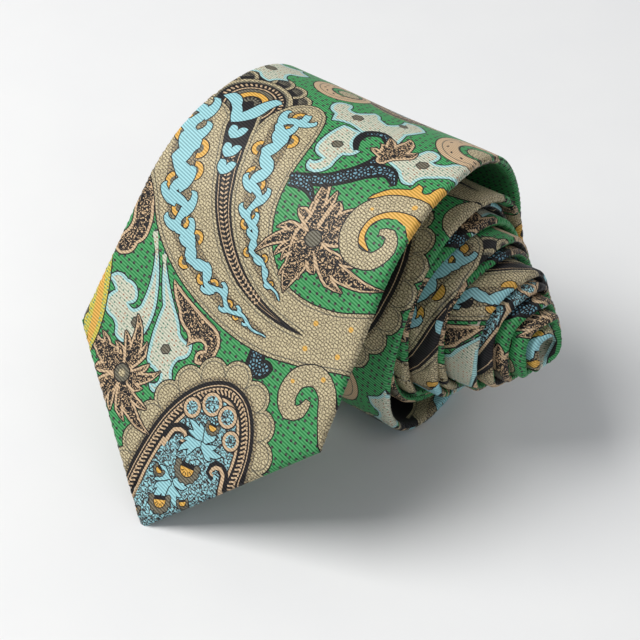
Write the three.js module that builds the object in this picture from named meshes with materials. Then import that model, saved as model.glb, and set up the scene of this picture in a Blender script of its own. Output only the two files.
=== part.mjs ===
// A silk necktie, rolled from its narrow end. The cloth is one flat folded tube: it rises from the blade's
// point, runs over the crest of a loose outer turn, and winds in to a tight coil that is pushed out sideways.
// Frame: +Z up, the roll's axis along +X (the coil's end), the blade hangs towards -Y, the origin is the
// middle of the bounding box on the table. All sizes are in millimetres and degrees.
import * as THREE from 'three';

// ---- The tie laid flat --------------------------------------------------------------------------------
const POINT_HALF_WIDTH = 40;        // the blade is 80 wide at its two corners, and its point is square
const TAIL_HALF_WIDTH = 19;         // the tail is 38 wide at its corners
const BLADE_END = 620;              // where the blade panel meets the neck panel, along the cloth
const NECK_END = 1010;              // where the neck panel meets the tail panel
const TOTAL_LENGTH = 1410;
const BLUNT = 2;                    // the points are cut off this far from the true apex
const HALF_WIDTHS = [               // distance along the cloth, half of the tie's width there
  [BLUNT, BLUNT], [POINT_HALF_WIDTH, POINT_HALF_WIDTH], [117, 36.3], [240, 31.5], [400, 26], [560, 21.5],
  [700, 18.5], [800, 17.5], [1150, 17.5], [TOTAL_LENGTH - TAIL_HALF_WIDTH, TAIL_HALF_WIDTH],
  [TOTAL_LENGTH - BLUNT, BLUNT],
];

// ---- Layers of the folded tube, as depths below its outer face ----------------------------------------
const SILK = 0.3;
const GAP = 0.3;                    // clear space kept between separate pieces
const TUBE = 2.2;                   // whole thickness: silk, interlining, silk
const EDGE_WALL = 0.5;              // cloth in the fold at each edge
const SLIT = 0.5;                   // half of the open seam down the middle of the back
const HEM = 10;                     // silk turned over to the back round the point
const BACK_CLOSES_AT = 100;         // where the two folded edges meet behind the blade
const BACK_OPENS_AT = TOTAL_LENGTH - 62;

// ---- The roll -----------------------------------------------------------------------------------------
const LOOP_RADIUS = 40.7;           // the loose outer turn
const BLADE_SLOPE = 53.2;           // the hanging blade against the table
const POINT_LIFT = 0.65;            // height of the blade's point above the loop's lowest line
const COIL_SHIFT = { y: 6.4, z: -3.7 };   // the coil's axis leans on the back of the outer turn
const COIL_RADIUS = 31.4;           // the coil's first turn
const COIL_PITCH = 2.75;            // how much each turn is smaller than the one outside it
const LOOP_LEAVES = 140;            // degrees past the crest where the outer turn starts to tighten
const COIL_STARTS = 290;            // and where it has become the coil
const FOOT = [171, 189];            // the outer turn lies flat on the table between these
const FOOT_SINK = 0.75;             // the foot's plane above the circle's own lowest point
const TURN_STEPS = 16;              // facets in a turn
const RIGHT_EDGE = [                // degrees past the crest, x of the cloth's right edge
  [-53.2, 47.4], [0, 46.7], [60, 41.3], [90, 41], [150, 41.5], [228, 45.2], [300, 47.5], [660, 42.2],
  [1020, 46.2], [1380, 53.7], [1740, 53.2], [2100, 62.2], [2460, 64.7], [2820, 67.7], [3180, 71.2],
  [3540, 73.4], [3900, 75],
];
const FLAP_EDGE = { x: 48.1, slope: -0.0184 };   // the same edge on the hanging blade, from its corner up

// ---- Where bodies and panels part ---------------------------------------------------------------------
const HINGE_SHARE = 0.5;            // the blade bends this share of the way up the arc before the crest
const END_GAP = 0.5;                // along the cloth, between one panel's end and the next

const rad = THREE.MathUtils.degToRad;
const smooth = (t) => THREE.MathUtils.smoothstep(t, 0, 1);

function lookUp(table, at) {
  let i = 1;
  while (i < table.length - 1 && table[i][0] < at) i++;
  const [[a0, v0], [a1, v1]] = [table[i - 1], table[i]];
  return v0 + (v1 - v0) * THREE.MathUtils.clamp((at - a0) / (a1 - a0), 0, 1);
}

// ---- The line of the cloth's outer face in the YZ plane ------------------------------------------------
function rollPoint(angle) {
  const w = smooth((angle - LOOP_LEAVES) / (COIL_STARTS - LOOP_LEAVES));
  const coil = COIL_RADIUS - (COIL_PITCH * (angle - COIL_STARTS)) / 360;
  const radius = THREE.MathUtils.lerp(LOOP_RADIUS, coil, w);
  const y = w * COIL_SHIFT.y + radius * Math.sin(rad(angle));
  const z = LOOP_RADIUS + w * COIL_SHIFT.z + radius * Math.cos(rad(angle));
  return { y, z };
}

const STRAIGHT = (LOOP_RADIUS * (1 + Math.cos(rad(BLADE_SLOPE))) - POINT_LIFT) / Math.sin(rad(BLADE_SLOPE));
const ARC = LOOP_RADIUS * rad(BLADE_SLOPE);
const CREST = STRAIGHT + ARC;       // the crest's distance along the cloth

function flapPoint(s) {
  const top = rollPoint(-BLADE_SLOPE);
  const down = Math.max(STRAIGHT - s, 0);
  if (down === 0) return rollPoint(((s - CREST) / LOOP_RADIUS) * THREE.MathUtils.RAD2DEG);
  return { y: top.y - down * Math.cos(rad(BLADE_SLOPE)), z: top.z - down * Math.sin(rad(BLADE_SLOPE)) };
}

function edgeOf(s, angle) {
  return s < CREST ? FLAP_EDGE.x + FLAP_EDGE.slope * (s - POINT_HALF_WIDTH) : lookUp(RIGHT_EDGE, angle);
}

// Every station is a place where the cloth's line bends. It holds its distance along the cloth, its point,
// the outward normal stretched to keep layers parallel, and the middle and half of the cloth's width.
function allStations() {
  const list = [];
  const add = (s, angle, p) => list.push({ s, angle, y: p.y, z: p.z });
  for (const s of [BLUNT, 12, 26, POINT_HALF_WIDTH, 55, 72, STRAIGHT]) add(s, -BLADE_SLOPE, flapPoint(s));
  for (const share of [0.75, HINGE_SHARE, 0.25]) {
    add(CREST - share * ARC, -share * BLADE_SLOPE, flapPoint(CREST - share * ARC));
  }
  let s = CREST;
  let last = rollPoint(0);
  const step = 360 / TURN_STEPS;
  for (let angle = 0; s < TOTAL_LENGTH - BLUNT; angle += step) {
    for (const at of angle === 180 ? FOOT : [angle]) {
      const p = rollPoint(at);
      if (FOOT.includes(at)) p.z = FOOT_SINK;
      s += Math.hypot(p.y - last.y, p.z - last.z);
      add(s, at, p);
      last = p;
    }
  }
  return list;
}

function finish(list) {
  const facing = (a, b) => new THREE.Vector2(-(b.z - a.z), b.y - a.y).normalize();
  list.forEach((st, i) => {
    const before = facing(list[Math.max(i - 1, 0)], list[Math.max(i, 1)]);
    const after = facing(list[Math.min(i, list.length - 2)], list[Math.min(i + 1, list.length - 1)]);
    const middle = before.clone().add(after).normalize();
    st.ny = middle.x / middle.dot(before);
    st.nz = middle.y / middle.dot(before);
    st.half = lookUp(HALF_WIDTHS, st.s);
    st.middle = edgeOf(st.s, st.angle) - lookUp(HALF_WIDTHS, THREE.MathUtils.clamp(st.s, POINT_HALF_WIDTH, TOTAL_LENGTH - TAIL_HALF_WIDTH));
  });
  return list;
}
const STATIONS = finish(allStations());

// The stations from one distance along the cloth to another, with an exact one made at each end and at
// every place where the cloth's outline or its back seam changes.
function stationAt(s) {
  let i = 1;
  while (i < STATIONS.length - 1 && STATIONS[i].s < s) i++;
  const [a, b] = [STATIONS[i - 1], STATIONS[i]];
  const t = (s - a.s) / (b.s - a.s);
  const made = { s };
  for (const key of ['angle', 'y', 'z', 'ny', 'nz', 'middle']) made[key] = THREE.MathUtils.lerp(a[key], b[key], t);
  made.half = lookUp(HALF_WIDTHS, s);
  return made;
}
const CORNERS = [POINT_HALF_WIDTH, BACK_CLOSES_AT, BACK_OPENS_AT, TOTAL_LENGTH - TAIL_HALF_WIDTH];
function between(from, to) {
  const near = 0.05;                // stations closer than this to an exact one are dropped
  const exact = [from, ...CORNERS.filter((s) => s > from && s < to), to];
  const kept = STATIONS.filter((st) => st.s > from && st.s < to && exact.every((s) => Math.abs(s - st.s) > near));
  return [...kept, ...exact.map(stationAt)].sort((a, b) => a.s - b.s);
}

// ---- Solids --------------------------------------------------------------------------------------------
// A closed solid whose section, [across, depth] pairs, may change from station to station.
function sweep(stations, section) {
  const rings = stations.map((st) => section(st).map(([across, depth]) =>
    [st.middle + across, st.y - st.ny * depth, st.z - st.nz * depth]));
  const n = rings[0].length;
  const index = [];
  for (let i = 0; i + 1 < rings.length; i++) {
    for (let j = 0; j < n; j++) {
      const [a, b] = [i * n + j, i * n + ((j + 1) % n)];
      index.push(a, b, a + n, b, b + n, a + n);
    }
  }
  const cap = (at) => THREE.ShapeUtils.triangulateShape(section(stations[at]).map((p) => new THREE.Vector2(...p)), []);
  const end = (rings.length - 1) * n;
  for (const [a, b, c] of cap(0)) index.push(a, c, b);
  for (const [a, b, c] of cap(rings.length - 1)) index.push(end + a, end + b, end + c);
  const geometry = new THREE.BufferGeometry();
  geometry.setAttribute('position', new THREE.Float32BufferAttribute(rings.flat(2), 3));
  geometry.setIndex(index);
  geometry.computeVertexNormals();
  return geometry;
}

const slab = (halfOf, top, bottom, aside = () => 0) => (st) => {
  const [h, x] = [halfOf(st), aside(st)];
  return [[x - h, top], [x + h, top], [x + h, bottom], [x - h, bottom]];
};

// Half of the opening in the tube's back: a slit, widening to a V behind each point.
function opening(st) {
  const ofBlade = st.s < POINT_HALF_WIDTH ? st.half - HEM : (POINT_HALF_WIDTH - HEM) * (BACK_CLOSES_AT - st.s) / (BACK_CLOSES_AT - POINT_HALF_WIDTH);
  const tailCorner = TOTAL_LENGTH - TAIL_HALF_WIDTH;
  const ofTail = st.s > tailCorner ? st.half - HEM : (TAIL_HALF_WIDTH - HEM) * (st.s - BACK_OPENS_AT) / (tailCorner - BACK_OPENS_AT);
  return Math.max(SLIT, st.s < NECK_END ? ofBlade : ofTail);
}

// The silk folded round the interlining, open along its back.
function tubeSection(st) {
  const wall = st.half - EDGE_WALL;
  const gap = Math.min(opening(st), wall - GAP);
  const inside = TUBE - SILK;
  const right = [[st.half, 0], [st.half, TUBE], [gap, TUBE], [gap, inside], [wall, inside], [wall, SILK]];
  return [...right, ...right.map(([across, depth]) => [-across, depth]).reverse()];
}
const silk = (from, to) => sweep(between(from, to), tubeSection);

const wool = (from, to) => sweep(between(from, to),
  slab((st) => st.half - EDGE_WALL - GAP, SILK + GAP, TUBE - SILK - GAP));

const tipping = (from, to) => sweep(between(from, to), slab((st) => opening(st) - GAP, TUBE - SILK, TUBE));

const THREAD = 0.4;
const seamThread = (from, to) => sweep(between(from, to), slab(() => THREAD / 2, TUBE - SILK, TUBE));
const joinThread = (at) => sweep(between(at - THREAD / 2, at + THREAD / 2), slab((st) => st.half - EDGE_WALL, 0.05, SILK));

// ---- Pieces on the back of the blade -------------------------------------------------------------------
const KEEPER = { s: 151, length: 12, half: 24, foot: 5, rise: 2.4, cloth: 0.6 };
function keeperSection() {
  const [low, high, ramp] = [TUBE + GAP, TUBE + KEEPER.rise, 4];
  const inner = KEEPER.half - KEEPER.foot;
  const upper = [[-KEEPER.half, low], [-inner, low], [-inner + ramp, high], [inner - ramp, high], [inner, low], [KEEPER.half, low]];
  const lower = upper.map(([x, d]) => [x, d + KEEPER.cloth]).reverse();
  return [...upper, ...lower];
}
const keeper = () => sweep(between(KEEPER.s - KEEPER.length / 2, KEEPER.s + KEEPER.length / 2), keeperSection);
const tack = (s, aside, half, length, depth, thick) => sweep(between(s - length / 2, s + length / 2),
  slab(() => half, depth, depth + thick, () => aside));

const LABEL = { s: 181, length: 20, half: 22, thick: 0.35 };
const TAG = { s: 214, length: 14, half: 9, thick: 0.35, aside: 6 };

// The spare loop of seam thread by the blade's tack, lying on the lining.
function threadLoop(s, radius) {
  const st = stationAt(s);
  const ring = new THREE.TorusGeometry(radius, THREAD / 2, 6, 18);
  const depth = TUBE + GAP + THREAD / 2;
  const across = new THREE.Vector3(1, 0, 0);
  const out = new THREE.Vector3(0, st.ny, st.nz).normalize();
  const turn = new THREE.Matrix4().makeBasis(across, new THREE.Vector3().crossVectors(out, across), out);
  turn.setPosition(st.middle, st.y - st.ny * depth, st.z - st.nz * depth);
  return ring.applyMatrix4(turn);
}

// ---- Materials -----------------------------------------------------------------------------------------
const cloth = (color, roughness) => new THREE.MeshStandardMaterial({ color, roughness, metalness: 0 });
const PRINTED_SILK = cloth(0x2f9a63, 0.55);
const LINING = cloth(0x1f6f4a, 0.5);
const WOOL = cloth(0xe6dfcf, 0.95);
const LABEL_CLOTH = cloth(0x20242c, 0.6);
const TAG_CLOTH = cloth(0xf1efe8, 0.6);
const THREAD_GREEN = cloth(0x1d5c3c, 0.7);

// ---- The assembly --------------------------------------------------------------------------------------
const half = END_GAP / 2;
const hinge = CREST - HINGE_SHARE * ARC;
const tailTip = TOTAL_LENGTH - BLUNT;
const bladeTack = BACK_CLOSES_AT - 5;
const tailTack = BACK_OPENS_AT - 2;

const PIECES = [
  // the blade's free end, up to where it bends
  ['blade_silk_end', silk(BLUNT, hinge - half), PRINTED_SILK],
  ['interlining_end', wool(BLUNT + 2, hinge - half), WOOL],
  ['blade_lining', tipping(HEM + 4, bladeTack - 3), LINING],
  ['blade_bar_tack', tack(bladeTack, 0, 3, 1.2, TUBE + GAP, 0.5), THREAD_GREEN],
  ['spare_thread_loop', threadLoop(bladeTack - 21, 3.5), THREAD_GREEN],
  // the rolled rest of the blade
  ['blade_silk_roll', silk(hinge + half, BLADE_END - half), PRINTED_SILK],
  ['keeper_loop', keeper(), PRINTED_SILK],
  ...[-1, 1].map((side) => [side < 0 ? 'keeper_tack_left' : 'keeper_tack_right',
    tack(KEEPER.s, side * (KEEPER.half - 2), 0.5, 10, TUBE + 2 * GAP + KEEPER.cloth, THREAD), THREAD_GREEN]),
  ['blank_label', tack(LABEL.s, 0, LABEL.half, LABEL.length, TUBE + GAP, LABEL.thick), LABEL_CLOTH],
  ['fibre_tag', tack(TAG.s, TAG.aside, TAG.half, TAG.length, TUBE + GAP, TAG.thick), TAG_CLOTH],
  // the neck, the tail and what runs through all three panels
  ['neck_silk', silk(BLADE_END + half, NECK_END - half), PRINTED_SILK],
  ['tail_silk', silk(NECK_END + half, tailTip), PRINTED_SILK],
  ['interlining_roll', wool(hinge + half, tailTip - 2), WOOL],
  ['seam_thread', seamThread(hinge + half, tailTack - 2), THREAD_GREEN],
  ['tail_lining', tipping(BACK_OPENS_AT + 8, tailTip - HEM - 1), LINING],
  ['tail_bar_tack', tack(tailTack, 0, 2.5, 1, TUBE + 0.1, 0.3), THREAD_GREEN],
];

const tie = new THREE.Group();
for (const [name, geometry, material] of PIECES) {
  const mesh = new THREE.Mesh(geometry, material);
  mesh.name = name;
  tie.add(mesh);
}

// The origin goes to the middle of the box, on the table.
const box = new THREE.Box3().setFromObject(tie);
const middle = box.getCenter(new THREE.Vector3());
tie.position.set(-middle.x, -middle.y, -box.min.z);
const necktie = new THREE.Group();
necktie.add(tie);
export default necktie;
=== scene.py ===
"""A rolled silk necktie with a paisley print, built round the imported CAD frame. All places are in metres,
in the frame's own axes: +X along the roll, towards the end where its coil is pushed out, and +Z up.
The cloth is one folded strip. It is laid out flat in millimetres, (across, along), and then bent."""
import math

import bmesh
import bpy
import numpy as np
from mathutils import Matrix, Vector
from mathutils.geometry import delaunay_2d_cdt


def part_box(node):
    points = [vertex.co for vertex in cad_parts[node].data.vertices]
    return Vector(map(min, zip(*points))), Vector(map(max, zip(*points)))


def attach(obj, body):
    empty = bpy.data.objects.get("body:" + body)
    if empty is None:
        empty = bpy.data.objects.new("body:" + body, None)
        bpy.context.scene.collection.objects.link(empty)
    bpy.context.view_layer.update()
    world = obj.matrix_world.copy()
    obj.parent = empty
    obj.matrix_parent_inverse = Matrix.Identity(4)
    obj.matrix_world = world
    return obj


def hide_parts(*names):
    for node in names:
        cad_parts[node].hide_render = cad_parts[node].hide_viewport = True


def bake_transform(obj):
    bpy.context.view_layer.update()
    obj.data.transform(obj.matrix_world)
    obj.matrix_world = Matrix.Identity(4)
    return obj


bl_info = {
    "name": "Rolled paisley necktie",
    "version": (1, 0, 0),
    "blender": (4, 5, 0),
    "location": "View3D > Sidebar > Necktie",
    "description": "Builds a rolled silk necktie with a paisley print round its CAD frame",
    "category": "Object",
}

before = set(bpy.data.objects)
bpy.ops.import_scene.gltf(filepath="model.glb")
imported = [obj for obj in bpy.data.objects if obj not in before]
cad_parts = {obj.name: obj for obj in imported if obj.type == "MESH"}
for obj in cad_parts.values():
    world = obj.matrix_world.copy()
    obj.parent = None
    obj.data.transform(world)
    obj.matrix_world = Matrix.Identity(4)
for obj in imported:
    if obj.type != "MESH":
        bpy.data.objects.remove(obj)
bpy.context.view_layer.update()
MM = 0.001

# ---- The strip, as the CAD lays it out, in millimetres and degrees ---------------------------------------
LENGTH = 1410.0
CORNER, TAIL_CORNER = 40.0, 1391.0  # where the blade's and the tail's points reach their full width
HALF_WIDTHS = [(0, 0), (CORNER, 40), (117, 36.3), (240, 31.5), (400, 26), (560, 21.5), (700, 18.5), (800, 17.5),
               (1150, 17.5), (TAIL_CORNER, 19), (LENGTH, 0)]
BLADE_END = 620.0
NECK_END = 1010.0
THICK = 2.3                         # the folded tube, at its edges
LOOP_RADIUS = 40.7                  # the loose outer turn
SLOPE = 53.2                        # the hanging blade against the table
POINT_LIFT = 0.65                   # the point's outer face over the table
COIL_SHIFT = (6.4, -3.7)            # the coil's axis from the outer turn's
COIL_RADIUS = 31.4
COIL_PITCH = 2.75
LOOP_LEAVES, COIL_STARTS = 140.0, 290.0     # degrees round the roll, from its top
COIL_ENDS = 4150                    # a little past the cloth's own end
FOOT = 0.75                         # the outer turn is pressed flat this far up from its lowest line
# How far right the cloth's right edge lies, in millimetres, by the degrees round the roll.
RIGHT_EDGE = [(-53.2, 47.4), (0, 46.7), (60, 41.3), (90, 41), (150, 41.5), (228, 45.2), (300, 47.5), (660, 42.2),
              (1020, 46.2), (1380, 53.7), (1740, 53.2), (2100, 62.2), (2460, 64.7), (2820, 67.7), (3180, 71.2),
              (3540, 73.4), (3900, 75)]
FLAP_EDGE = (48.1, -0.0184)         # the hanging blade's right edge at its corner, and its lean
BLUNT = 0.5                         # the points are cut off this much by their turned folds
SINE_45 = 0.7071                    # both points are square
LINE_STEP, OVERRUN = 0.5, 6         # the line is worked out this finely, and this far past both ends
SIDE_WINDOW = 29                    # steps over which the cloth's sideways place is evened out

# The roll's place comes from the CAD: its back and its top are the outer turn's, and the blade's left corner.
_roll_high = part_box("blade_silk_roll")[1]
_end_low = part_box("blade_silk_end")[0]
AXIS_X = _end_low.x / MM - (FLAP_EDGE[0] - 2 * CORNER)
AXIS_Y = _roll_high.y / MM - LOOP_RADIUS
AXIS_Z = _roll_high.z / MM - LOOP_RADIUS


def smooth(t):
    t = np.clip(t, 0, 1)
    return t * t * (3 - 2 * t)


def table(rows, at):
    rows = np.array(rows, float)
    return np.interp(at, rows[:, 0], rows[:, 1])


def strip_line():
    """The strip's outer face in the YZ plane, as arrays over the distance along the cloth."""
    slope = math.radians(SLOPE)
    straight = (LOOP_RADIUS * (1 + math.cos(slope)) - POINT_LIFT) / math.sin(slope)
    arc = LOOP_RADIUS * slope
    crest = straight + arc
    angle = np.arange(0, COIL_ENDS, 1.0)
    rad = np.radians(angle)
    w = smooth((angle - LOOP_LEAVES) / (COIL_STARTS - LOOP_LEAVES))
    soft = 1 + 0.010 * np.sin(2.0 * rad + 0.8) + 0.007 * np.sin(5.0 * rad)
    coil = (COIL_RADIUS - COIL_PITCH * (angle - COIL_STARTS) / 360) * soft
    r = LOOP_RADIUS + (coil - LOOP_RADIUS) * w
    y = w * COIL_SHIFT[0] + r * np.sin(rad)
    z = np.maximum(LOOP_RADIUS + w * COIL_SHIFT[1] + r * np.cos(rad), FOOT)
    s = crest + np.concatenate([[0], np.cumsum(np.hypot(np.diff(y), np.diff(z)))])
    flap = np.arange(-OVERRUN, crest, LINE_STEP)
    down = np.maximum(straight - flap, 0)
    lean = np.radians(np.clip((flap - crest) / LOOP_RADIUS * 180 / math.pi, -SLOPE, 0))
    fy = LOOP_RADIUS * np.sin(lean) - down * math.cos(slope)
    fz = LOOP_RADIUS + LOOP_RADIUS * np.cos(lean) - down * math.sin(slope)
    s, y, z, angle = (np.concatenate(p) for p in ((flap, s), (fy, y), (fz, z), (np.degrees(lean), angle)))
    even = np.arange(-OVERRUN, LENGTH + OVERRUN, LINE_STEP)
    y, z, angle = np.interp(even, s, y), np.interp(even, s, z), np.interp(even, s, angle)
    ty, tz = np.gradient(y), np.gradient(z)
    size = np.hypot(ty, tz)
    edge = np.where(even < crest, FLAP_EDGE[0] + FLAP_EDGE[1] * (even - CORNER), table(RIGHT_EDGE, angle))
    middle = edge - table(HALF_WIDTHS, np.clip(even, CORNER, TAIL_CORNER))
    padded = np.pad(middle, SIDE_WINDOW // 2, "edge")
    middle = np.convolve(padded, np.ones(SIDE_WINDOW) / SIDE_WINDOW, "valid")
    wander = 0.8 * np.sin(np.radians(angle) * 3.0 + 1.0) * smooth((angle - 300) / 200)
    return {"s": even, "y": y, "z": z, "ny": -tz / size, "nz": ty / size, "middle": middle + wander}


LINE_OF = strip_line()


def at_strip(key, s):
    return np.interp(s, LINE_OF["s"], LINE_OF[key])


def place(v, s, depth):
    """Flat cloth places, in millimetres, to points in the frame, in metres. Depth is under the outer face."""
    v, s, depth = np.broadcast_arrays(np.asarray(v, float), s, depth)
    x = at_strip("middle", s) + v + AXIS_X
    y = at_strip("y", s) - at_strip("ny", s) * depth + AXIS_Y
    z = at_strip("z", s) - at_strip("nz", s) * depth + (AXIS_Z - LOOP_RADIUS)
    return np.stack([x, y, z], -1) * MM


# ---- The print, drawn in millimetres on the cloth: across it from its middle, and along it from the point --
REPEAT = 146.0                      # the drawing is repeated, mirrored, every so far along the cloth
PRINT_SPILL, PRINT_MARGIN = 20, 3   # how far shapes may reach past their repeat, and past the cloth's sides
EDGE_BAND = 19                      # the part of a rolled turn that shows, with its margin
PLAINER_FROM = 215                  # from here on, outlines have fewer points
# The smallest shapes kept, by the distance along, on the cloth's face and on its back, and how far along each
# is rolled in, so that only the shapes near its edges are kept.
FRONT_LEAST = [(0, 0.7), (190, 0.7), (215, 2.2), (300, 3.4), (620, 3.6), (LENGTH, 3.0)]
BACK_LEAST = [(0, 17.0), (LENGTH, 17.0)]
FRONT_DEEP, BACK_DEEP = 300, 110
LINE = 0.34                         # the printed black outline


def arcs(points, step=1.05):
    """A closed outline through (across, along, bulge) corners; a bulge of 1 is a half circle to the left."""
    out = []
    for (ax, ay, bulge), (bx, by, _) in zip(points, points[1:] + points[:1]):
        chord = math.hypot(bx - ax, by - ay)
        n = max(1, round(chord * (1 + abs(bulge)) / step)) if abs(bulge) > 0.01 else 1
        for i in range(n):
            t = i / n
            rise = bulge * chord * 2 * t * (1 - t)
            out.append((ax + (bx - ax) * t - rise * (by - ay) / chord,
                        ay + (by - ay) * t + rise * (bx - ax) / chord))
    return np.array(out)


def through(points, closed=True, step=1.5):
    """A smooth line through points."""
    p = np.array(points, float)
    n = len(p)
    out = []
    for i in range(n if closed else n - 1):
        q = [p[(i + k) % n] if closed else p[min(max(i + k, 0), n - 1)] for k in (-1, 0, 1, 2)]
        m = max(2, round(math.dist(q[1], q[2]) / step))
        t = np.arange(m)[:, None] / m
        out.append(0.5 * (2 * q[1] + (q[2] - q[0]) * t + (2 * q[0] - 5 * q[1] + 4 * q[2] - q[3]) * t**2
                          + (3 * q[1] - q[0] - 3 * q[2] + q[3]) * t**3))
    return np.vstack(out + ([] if closed else [p[-1:]]))


def normals(line, closed):
    if closed:
        along = np.roll(line, -1, 0) - np.roll(line, 1, 0)
    else:
        along = np.gradient(line, axis=0)
    return np.stack([-along[:, 1], along[:, 0]], 1) / (np.linalg.norm(along, axis=1)[:, None] + 1e-9)


def run_along(line):
    """How far along a line each of its points is."""
    return np.concatenate([[0], np.cumsum(np.linalg.norm(np.diff(line, axis=0), axis=1))])


def grown(poly, by):
    """The outline moved outwards, or inwards where by is negative."""
    x, y = poly.T
    leftwards = float(np.sum(x * np.roll(y, -1) - y * np.roll(x, -1))) > 0
    return poly + normals(poly, True) * (-by if leftwards else by)


def lighter(poly, slack=0.05):
    """The outline without the points that lie nearly on a line between their neighbours."""
    for _ in range(3 if len(poly) > 8 else 0):
        before, chord = np.roll(poly, 1, 0), np.roll(poly, -1, 0) - np.roll(poly, 1, 0)
        off = np.abs(chord[:, 0] * (poly - before)[:, 1] - chord[:, 1] * (poly - before)[:, 0])
        idle = off < slack * (np.linalg.norm(chord, axis=1) + 1e-9)
        idle[::2] = False
        poly = poly[~idle]
    return poly


def ribbon(points, widths, step=1.4):
    """A band along a smooth line, with a half width at each of its points."""
    line = through(points, False, step)
    near = [int(np.argmin(np.linalg.norm(line - p, axis=1))) for p in np.array(points, float)]
    if np.all(np.diff(near) > 0):
        half = np.interp(np.arange(len(line)), near, widths)
    else:                           # the line passes close to itself, so its points are spread evenly
        at = run_along(line)
        knots = np.interp(range(len(points)), np.linspace(0, len(points) - 1, len(at)), at)
        half = np.interp(at, knots, widths)
    return band(line, normals(line, False) * half[:, None])


def band(line, reach):
    """The outline that runs up a line on one side of it and back on the other."""
    return np.vstack([line + reach, (line - reach)[::-1]])


def disc(centre, r, squash=1.0, turn=0.0, start=0.0, sweep=360.0, n=None):
    """A disc or a pie-cut part of one."""
    n = n or max(7, round(math.radians(sweep) * r))
    a = np.radians(start + sweep * np.arange(n + (sweep < 360)) / n)
    p = np.stack([r * np.cos(a), r * squash * np.sin(a)], 1)
    return turned(p, turn) + centre


def turned(poly, degrees):
    c, s = math.cos(math.radians(degrees)), math.sin(math.radians(degrees))
    return poly @ np.array([[c, s], [-s, c]])


def spoke(centre, reach, degrees):
    """The place this far from a centre, in a direction."""
    return np.array(centre) + turned(np.array([[reach, 0]]), degrees)[0]


def bar(centre, length, width, degrees):
    h, w = length / 2, width / 2
    return turned(np.array([(-h, -w), (h, -w), (h, w), (-h, w)]), degrees) + centre


def wheel(centre, reach, length, width, angles, lean=0):
    """Bars set round a centre."""
    return [bar(spoke(centre, reach, a), length, width, a + lean) for a in angles]


class Drawing:
    """Outlines in the order they are printed, each with its ink."""

    def __init__(self):
        self.shapes = []

    def fill(self, ink, *polys):
        self.shapes += [(ink, lighter(p)) for p in polys]

    def draw(self, ink, *polys, line=LINE):
        """Filled shapes with one black outline round them all."""
        self.fill("black", *[grown(p, line) for p in polys])
        self.fill(ink, *polys)

    def rimmed(self, rim, ink, width, *polys):
        self.draw(rim, *polys)
        self.fill(ink, *[grown(p, -width) for p in polys])

    def lined(self, *polys):
        """Beige shapes with a fine olive line just inside their outline."""
        self.rimmed("beige", "olive", 0.75, *polys)
        self.fill("beige", *[grown(p, -1.05) for p in polys])

    def rings(self, centre, *rings):
        """Discs in one another."""
        for ink, r in rings:
            self.fill(ink, disc(centre, r))


def lobe(base, degrees, length, width, curl=0.0, inset=0.0):
    """A leaf in three blades from its base, curling to its left. Inset makes the narrower one inside it."""
    n, w = length, width
    out = []
    for points, halves in (([(0, 0), (n * 0.3, 0), (n * 0.6, 0), (n * 0.85, w * 0.12), (n, w * 0.42)],
                            [w * 0.22, w * 0.34, w * 0.36, w * 0.24, 0.05]),
                           ([(n * 0.1, 0), (n * 0.34, w * 0.34), (n * 0.52, w * 0.80), (n * 0.60, w * 1.15)],
                            [w * 0.16, w * 0.24, w * 0.20, 0.05]),
                           ([(n * 0.1, 0), (n * 0.38, -w * 0.34), (n * 0.60, -w * 0.72), (n * 0.78, -w * 0.74)],
                            [w * 0.16, w * 0.24, w * 0.20, 0.05])):
        p = ribbon(points, [max(1.3 * h - inset, 0.05) for h in halves], 1.7)
        p[:, 1] += curl * p[:, 0] ** 2 / length
        out.append(turned(p, degrees) + base)
    return out


def stitches(line, spacing, length, width, lean, aside=0.0):
    """Short bars set along a line, leaning from it."""
    at, n = run_along(line), normals(line, False)
    out = []
    for d in np.arange(spacing / 2, at[-1], spacing):
        p = np.array([np.interp(d, at, line[:, k] + aside * n[:, k]) for k in (0, 1)])
        i = min(int(np.searchsorted(at, d)), len(line) - 1)
        out.append(bar(p, length, width, math.degrees(math.atan2(n[i, 1], n[i, 0])) + lean))
    return out


def vine(d, points, widths, moons):
    """A blue stem with curled leaves on both sides of it and gold half-moons beside them."""
    line = through(points, False, 0.9)
    half = np.interp(np.arange(len(line)), np.linspace(0, len(line) - 1, len(widths)), widths)
    at, n = run_along(line), normals(line, False)
    middle = line + n * (np.sin(at / 9.0 * 2 * math.pi) * half * 0.75)[:, None]
    stem = band(middle, normals(middle, False) * (half * (0.46 + 0.07 * np.sin(at * 1.7)))[:, None])
    leaves = []
    d.fill("umber", band(line, n * (half * 1.35 + 0.4)[:, None]))
    for k, peak in enumerate(np.arange(1.6, at[-1] * 0.94, 3.4)):
        i = min(int(np.searchsorted(at, peak)), len(line) - 1)
        side = 1 if k % 2 == 0 else -1
        w = half[i]
        leaf = ribbon([(-0.3 * w, -0.6 * w), (0.45 * w, -0.2 * w), (1.05 * w, 0.45 * w), (1.2 * w, 1.15 * w),
                       (0.85 * w, 1.5 * w)], [0.62 * w, 0.60 * w, 0.42 * w, 0.30 * w, 0.05], 0.8)
        leaf = leaf * [1, side]
        ang = math.degrees(math.atan2(n[i, 1], n[i, 0]))
        leaves.append(turned(leaf, ang + (0 if side > 0 else 180)) + middle[i])
        if k % 3 != moons % 3:
            m = middle[i] - n[i] * side * w * 0.75
            turn = ang + (180 if side > 0 else 0) - 90
            d.draw("gold", disc(m, w * 0.98, start=0, sweep=180, turn=turn))
            d.fill("olive", disc(m, w * 0.50, start=0, sweep=180, turn=turn, n=6))
    d.draw("sky", stem, *leaves, line=0.3)


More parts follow.
